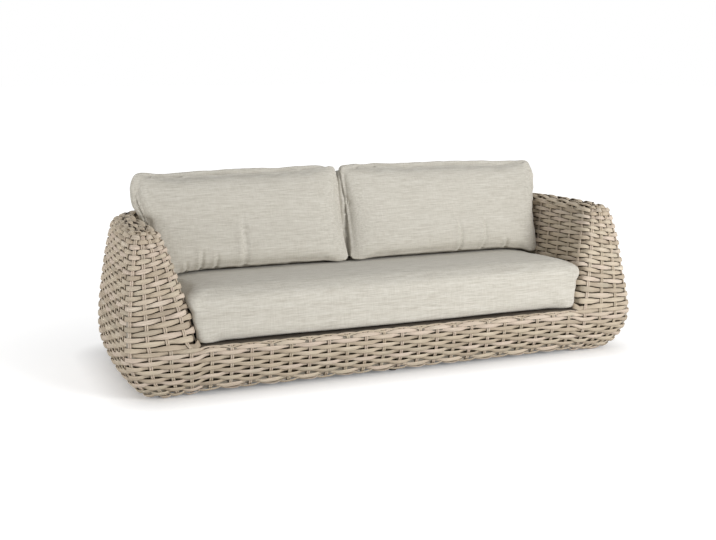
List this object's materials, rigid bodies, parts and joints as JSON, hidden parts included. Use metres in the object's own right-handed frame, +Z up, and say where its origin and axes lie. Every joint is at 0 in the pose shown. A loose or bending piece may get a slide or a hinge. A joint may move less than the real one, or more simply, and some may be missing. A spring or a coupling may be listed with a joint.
{
  "type": "garden sofa",
  "caption": "Long woven rattan garden sofa with high sloping arms, a wrapped back, one long seat cushion and a pair of leaning back cushions.",
  "frame": {"origin": "on the floor, under the middle of the woven body", "axes": "+X to the right of a person who stands in front and faces the sofa; +Y from the front to the back; +Z up"},
  "size_m": [2.29, 0.93, 0.8239],
  "materials": {
    "frame_tube": "beige powder coat on aluminium tube",
    "frame_plate": "beige powder coat on flat aluminium bar",
    "glide_nylon": "moulded nylon",
    "wicker": "woven half-round synthetic rattan, mixed beige and grey-brown strands",
    "cushion_fabric": "linen-look outdoor fabric with a fine slub"
  },
  "bodies": {
    "frame": {"frame_top_hoop": "frame_tube", "frame_base_front_rail": "frame_tube", "frame_base_rear_rail": "frame_tube", "frame_base_left_rail": "frame_tube", "frame_base_right_rail": "frame_tube", "frame_left_front_post": "frame_tube", "frame_left_side_post": "frame_tube", "frame_left_rear_post": "frame_tube", "frame_right_front_post": "frame_tube", "frame_right_side_post": "frame_tube", "frame_right_rear_post": "frame_tube", "frame_seat_front_rail": "frame_tube", "frame_seat_rear_rail": "frame_tube", "frame_seat_left_rail": "frame_tube", "frame_left_side_strut": "frame_tube", "frame_left_rear_strut": "frame_tube", "frame_left_arm_stay": "frame_tube", "frame_seat_right_rail": "frame_tube", "frame_right_side_strut": "frame_tube", "frame_right_rear_strut": "frame_tube", "frame_right_arm_stay": "frame_tube", "frame_back_stay_left": "frame_tube", "frame_back_stay_centre": "frame_tube", "frame_back_stay_right": "frame_tube", "frame_centre_front_leg": "frame_tube", "frame_centre_rear_leg": "frame_tube", "seat_slat_1": "frame_plate", "seat_slat_2": "frame_plate", "seat_slat_3": "frame_plate", "seat_slat_4": "frame_plate", "seat_slat_5": "frame_plate", "seat_slat_6": "frame_plate", "seat_slat_7": "frame_plate", "foot_bracket_left_front": "frame_plate", "foot_bracket_left_rear": "frame_plate", "foot_bracket_centre_front": "frame_plate", "foot_bracket_right_front": "frame_plate", "foot_bracket_right_rear": "frame_plate", "glide_left_front": "glide_nylon", "glide_left_rear": "glide_nylon", "glide_centre_front": "glide_nylon", "glide_centre_rear": "glide_nylon", "glide_right_front": "glide_nylon", "glide_right_rear": "glide_nylon", "wicker_left_arm": "wicker", "wicker_right_arm": "wicker", "wicker_back": "wicker", "wicker_front_band": "wicker", "wicker_seat_deck": "wicker"},
    "seat_cushion": {"seat_cushion": "cushion_fabric"},
    "back_cushion_left": {"back_cushion_left": "cushion_fabric"},
    "back_cushion_right": {"back_cushion_right": "cushion_fabric"}
  },
  "joints": [
    {"name": "seat_cushion_slide", "type": "slide", "parent": "frame", "child": "seat_cushion", "axis": [0, -1, 0], "range_m": [0, 0.2]},
    {"name": "back_cushion_left_lift", "type": "slide", "parent": "frame", "child": "back_cushion_left", "axis": [0, 0.3007, 0.9537], "range_m": [0, 0.3]},
    {"name": "back_cushion_right_lift", "type": "slide", "parent": "frame", "child": "back_cushion_right", "axis": [0, 0.3007, 0.9537], "range_m": [0, 0.3]}
  ]
}
